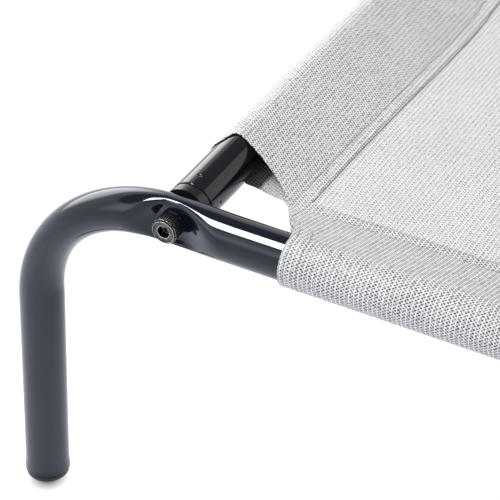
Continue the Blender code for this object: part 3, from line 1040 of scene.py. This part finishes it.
def threads():
    """Rows of stitches along all seams and mouths. Gives the thread pieces of each sleeve."""
    made = {}
    for end_name, end in ENDS:
        stop = 2 * SIDE_Y - END_SEAM_START
        rows = [stitch_line(end_seam_place(end, offset), END_SEAM_START, stop, STITCH_LIFT)
                for offset in (0.0, END_HEM - END_SEAM - EDGE_ROW)]
        made[end_name] = [stitched("seam_thread_" + end_name, rows, THREAD_RADIUS)]
    for side_name, face in SIDES:
        stop = 2 * CORNER_X - SIDE_SEAM_START
        rows = [stitch_line(side_seam_place(face, offset), SIDE_SEAM_START, stop, lift)
                for offset, lift in zip((0.0, SIDE_HEM - SIDE_SEAM - EDGE_ROW), SIDE_STITCH_LIFTS)]
        made[side_name] = [stitched("seam_thread_" + side_name, rows, THREAD_RADIUS)]
        for end_name, end in ENDS:
            rows = [hem_row(face, end, from_mouth) for from_mouth in HEM_ROWS]
            name = "hem_thread_" + side_name + "_" + end_name
            made[side_name].append(stitched(name, rows, HEM_THREAD_RADIUS))
    return made


def build():
    for side_name, face in SIDES:
        side_frame(side_name, face)
        for end_name, end in ENDS:
            corner = side_name + "_" + end_name
            insert(corner, end, face)
            screw(corner, end, face)
            foot_plug(corner, end, face)
    for end_name, end in ENDS:
        end_rail(end_name, end)
    sewn = threads()
    for end_name, end in ENDS:
        end_sleeve(end_name, end)
    for side_name, face in SIDES:
        cloth = side_sleeve(side_name, face)
        folds = [fold(side_name, face, end_name, end) for end_name, end in ENDS]
    panel()


build()


# Floor, lights and camera

FLOOR_HALF = 5.0
FLOOR_LIGHT = 1.02
FLOOR_COLOUR = (0.902, 0.917, 1.0)
POOL_LIGHT = 0.31  # a pool of light on the floor, round the front left leg
POOL_PLACE = (-CORNER_X - 0.04, -SIDE_Y - 0.12)
POOL_SIZE = 0.32
SHADE_COLOUR = (0.98, 0.93, 0.89)
SHADE_SHIFT = (0.0039, -0.0070)  # the shade at a foot lies this far from the foot's middle
SHADE_SIZE = 0.0158
STUDIO_COLOUR = (0.985, 0.99, 1.0, 1.0)
CEILING_LIGHT = 0.25
WALL_LIGHT = 0.82
SIDE_LIGHT = 3.6
SIDE_DIRECTION = (-0.80, 0.55, 0.20)
FRONT_LIGHT = 1.5
FRONT_DIRECTION = (-0.56, -0.62, 0.55)
SOFTBOX_PLACE = (-CORNER_X - 0.62, -SIDE_Y - 0.30, RAIL_HEIGHT + 1.6)
SOFTBOX_SIZE = (0.42, 0.88)
SOFTBOX_POWER = 38.0
CAMERA_TURN = math.radians(29.188)
CAMERA_RISE = math.radians(37.062)
CAMERA_DISTANCE = 1.09915
CAMERA_LENS = 176.59
CAMERA_TARGET = Vector((-CORNER_X + 0.11307, -SIDE_Y, RAIL_HEIGHT - 0.002795))


def floor():
    """A pale floor, so bright that the bed's shadow fades out. A small soft shadow is painted into its glow
    at each foot.
    """
    nodes = material_nodes("pale_floor")
    cloud = nodes.noise(1.5, 2.0)
    nodes.shade("Base Color", nodes.colours(cloud, (0.2, (0.14, 0.145, 0.15)), (0.8, (0.16, 0.165, 0.17))))
    nodes.shade("Roughness", nodes.ramp(cloud, 0.2, 0.8, 0.75, 0.85))
    nodes.shade("Specular IOR Level", 0.1)

    def distance(along, ahead):
        return nodes.math('SQRT', nodes.total((along, along), (ahead, ahead)))

    x, y, _ = nodes.split(nodes.place())
    # painted light: the floor glows brighter in a pool round the front left leg
    from_pool = distance(nodes.math('SUBTRACT', x, POOL_PLACE[0]), nodes.math('SUBTRACT', y, POOL_PLACE[1]))
    pool = nodes.ramp(from_pool, 0.3 * POOL_SIZE, POOL_SIZE, FLOOR_LIGHT + POOL_LIGHT, FLOOR_LIGHT)
    # painted shadow: the glow dims to a warm shade round each foot
    along = nodes.math('ABSOLUTE', nodes.math('SUBTRACT', x, SHADE_SHIFT[0]))
    ahead = nodes.math('ABSOLUTE', nodes.math('SUBTRACT', y, SHADE_SHIFT[1]))
    from_foot = distance(nodes.math('SUBTRACT', along, FOOT_X), nodes.math('SUBTRACT', ahead, SIDE_Y))
    light = nodes.ramp(from_foot, 0.0, SHADE_SIZE)
    nodes.shade("Emission Color", nodes.colours(light, (0.3, SHADE_COLOUR), (0.95, FLOOR_COLOUR)))
    nodes.shade("Emission Strength", nodes.math('MULTIPLY', pool, light))
    bm = bmesh.new()
    bmesh.ops.create_grid(bm, x_segments=1, y_segments=1, size=FLOOR_HALF)
    mesh = mesh_from(bm)
    mesh.materials.append(nodes.owner)
    placed("floor", mesh)


def surroundings():
    """A studio without hard edges: pale walls up to a height, a dim ceiling, and two soft glows."""
    world = bpy.data.worlds.new("studio")
    bpy.context.scene.world = world
    nodes = Nodes(world, "Background")
    direction = nodes.add("ShaderNodeTexCoord").outputs["Generated"]
    down = nodes.dot(direction, (0, 0, -1))
    walls = nodes.ramp(down, -0.61, -0.56, 0.0, WALL_LIGHT)
    side = nodes.ramp(nodes.dot(direction, SIDE_DIRECTION), 0.88, 0.975, 0.0, SIDE_LIGHT)
    side_top = nodes.ramp(down, -0.48, -0.36)
    front = nodes.ramp(nodes.dot(direction, FRONT_DIRECTION), 0.90, 0.998, 0.0, FRONT_LIGHT)
    nodes.shade("Strength", nodes.total((CEILING_LIGHT, 1.0), (walls, 1.0), (side, side_top), (front, 1.0)))
    nodes.shade("Color", STUDIO_COLOUR)


def softbox():
    """One soft light overhead, shining straight down."""
    light = bpy.data.lights.new("overhead", 'AREA')
    light.shape = 'RECTANGLE'
    light.size, light.size_y = SOFTBOX_SIZE
    light.energy = SOFTBOX_POWER
    placed("overhead", light).location = SOFTBOX_PLACE


def camera():
    data = bpy.data.cameras.new("camera")
    data.sensor_width = 36.0
    data.lens = CAMERA_LENS
    data.clip_start = 0.05
    data.clip_end = 50.0
    obj = placed("camera", data)
    back = Vector((math.sin(CAMERA_TURN) * math.cos(CAMERA_RISE),
                   -math.cos(CAMERA_TURN) * math.cos(CAMERA_RISE), math.sin(CAMERA_RISE)))
    obj.location = CAMERA_TARGET + back * CAMERA_DISTANCE
    obj.rotation_mode = 'QUATERNION'
    obj.rotation_quaternion = (-back).to_track_quat('-Z', 'Y')
    bpy.context.scene.camera = obj


bpy.context.scene.view_settings.view_transform = 'Standard'
surroundings()
softbox()
floor()
camera()
